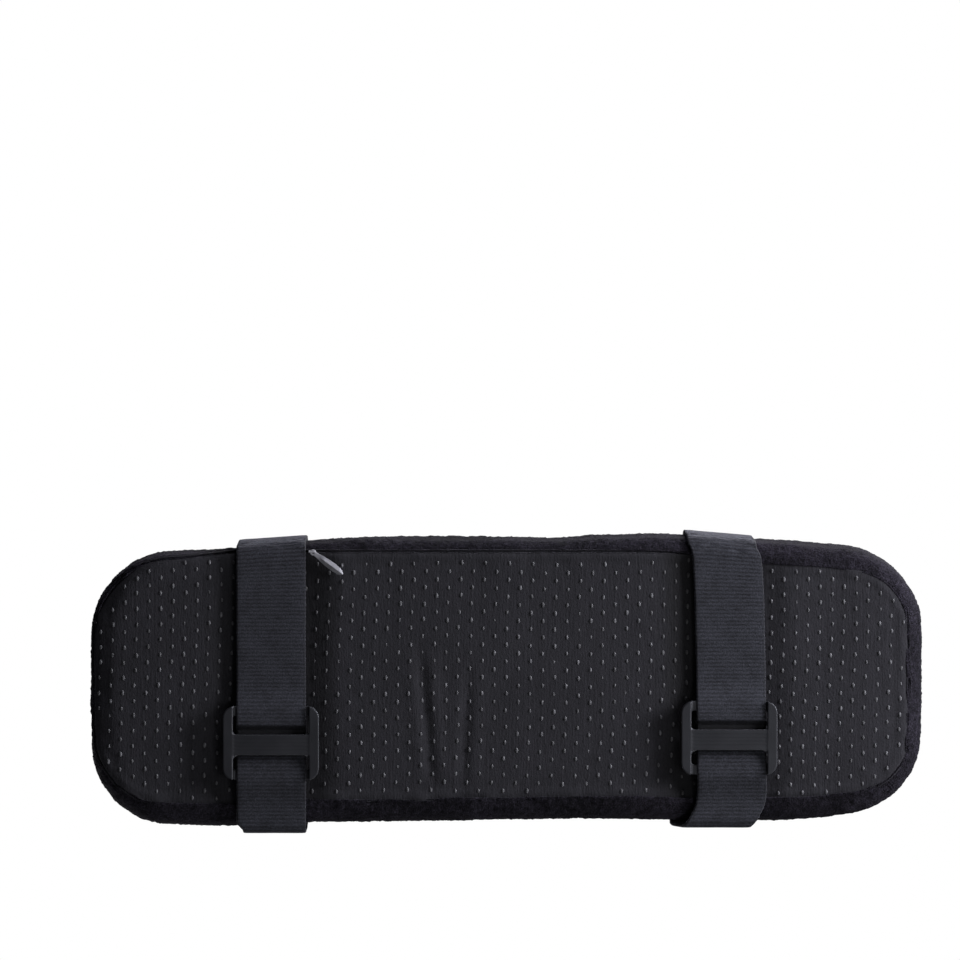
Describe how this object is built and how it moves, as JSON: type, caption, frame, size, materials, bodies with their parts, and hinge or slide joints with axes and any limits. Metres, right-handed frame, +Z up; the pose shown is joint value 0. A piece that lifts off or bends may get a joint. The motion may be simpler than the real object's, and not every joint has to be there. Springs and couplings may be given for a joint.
{
  "type": "chair armrest pad",
  "caption": "Padded armrest cushion with a zipped velvet and anti-slip fabric cover, held on by two elastic strap loops with tri-glide buckles.",
  "frame": {"origin": "middle of the pad's plan on the outer face of the anti-slip underside, the face that rests on the armrest", "axes": "+X along the pad's length, +Z up out of the velvet side, the zip on the -Y long side"},
  "size_m": [0.25, 0.089, 0.0365],
  "materials": {
    "foam": "open-cell foam, hidden inside the cover",
    "velvet_top": "short-pile velvet, soft sheen",
    "velvet_band": "short-pile velvet, soft sheen",
    "grip_fabric": "woven fabric with small raised silicone dots",
    "elastic": "woven elastic webbing with fine cross ribs",
    "buckle_plastic": "moulded, satin",
    "zip_tape": "woven tape",
    "zip_teeth": "nylon coil",
    "zip_metal": "plated zinc, satin"
  },
  "bodies": {
    "pad": {"foam_core": "foam", "top_panel": "velvet_top", "side_band": "velvet_band", "bottom_panel": "grip_fabric", "zip_tape_band_side": "zip_tape", "zip_tape_panel_side": "zip_tape", "zip_teeth_band_side": "zip_teeth", "zip_teeth_panel_side": "zip_teeth", "zip_top_stop": "zip_metal", "zip_bottom_stop": "zip_metal"},
    "zip_slider": {"zip_slider": "zip_metal"},
    "zip_pull": {"zip_pull": "zip_metal"},
    "strap_left_upper": {"strap_left_over": "elastic", "strap_left_leg_zip_side": "elastic", "strap_left_leg_far_side": "elastic"},
    "strap_left_lower": {"strap_left_under": "elastic"},
    "buckle_left": {"buckle_left": "buckle_plastic", "strap_left_threaded": "elastic"},
    "strap_right_upper": {"strap_right_over": "elastic", "strap_right_leg_zip_side": "elastic", "strap_right_leg_far_side": "elastic"},
    "strap_right_lower": {"strap_right_under": "elastic"},
    "buckle_right": {"buckle_right": "buckle_plastic", "strap_right_threaded": "elastic"}
  },
  "joints": [
    {"name": "zip_travel", "type": "slide", "parent": "pad", "child": "zip_slider", "axis": [1, 0, 0], "range_m": [0, 0.088]},
    {"name": "zip_pull_swing", "type": "hinge", "parent": "zip_slider", "child": "zip_pull", "pos_m": [-0.0586, -0.03815, -0.001], "axis": [-0.5878, 0.809, 0], "range_deg": [0, 105]},
    {"name": "strap_left_shift", "type": "slide", "parent": "pad", "child": "strap_left_upper", "axis": [1, 0, 0], "range_m": [-0.018, 0]},
    {"name": "strap_left_stretch", "type": "slide", "parent": "strap_left_upper", "child": "strap_left_lower", "axis": [0, 0, -1], "range_m": [0, 0.03], "stiffness_N_per_m": 60, "deforming": ["strap_left_leg_zip_side", "strap_left_leg_far_side"]},
    {"name": "buckle_left_slide", "type": "slide", "parent": "strap_left_lower", "child": "buckle_left", "axis": [0, 1, 0], "range_m": [-0.039, 0.002]},
    {"name": "strap_right_shift", "type": "slide", "parent": "pad", "child": "strap_right_upper", "axis": [1, 0, 0], "range_m": [-0.01, 0.02]},
    {"name": "strap_right_stretch", "type": "slide", "parent": "strap_right_upper", "child": "strap_right_lower", "axis": [0, 0, -1], "range_m": [0, 0.03], "stiffness_N_per_m": 60, "deforming": ["strap_right_leg_zip_side", "strap_right_leg_far_side"]},
    {"name": "buckle_right_slide", "type": "slide", "parent": "strap_right_lower", "child": "buckle_right", "axis": [0, 1, 0], "range_m": [-0.038, 0.003]}
  ]
}
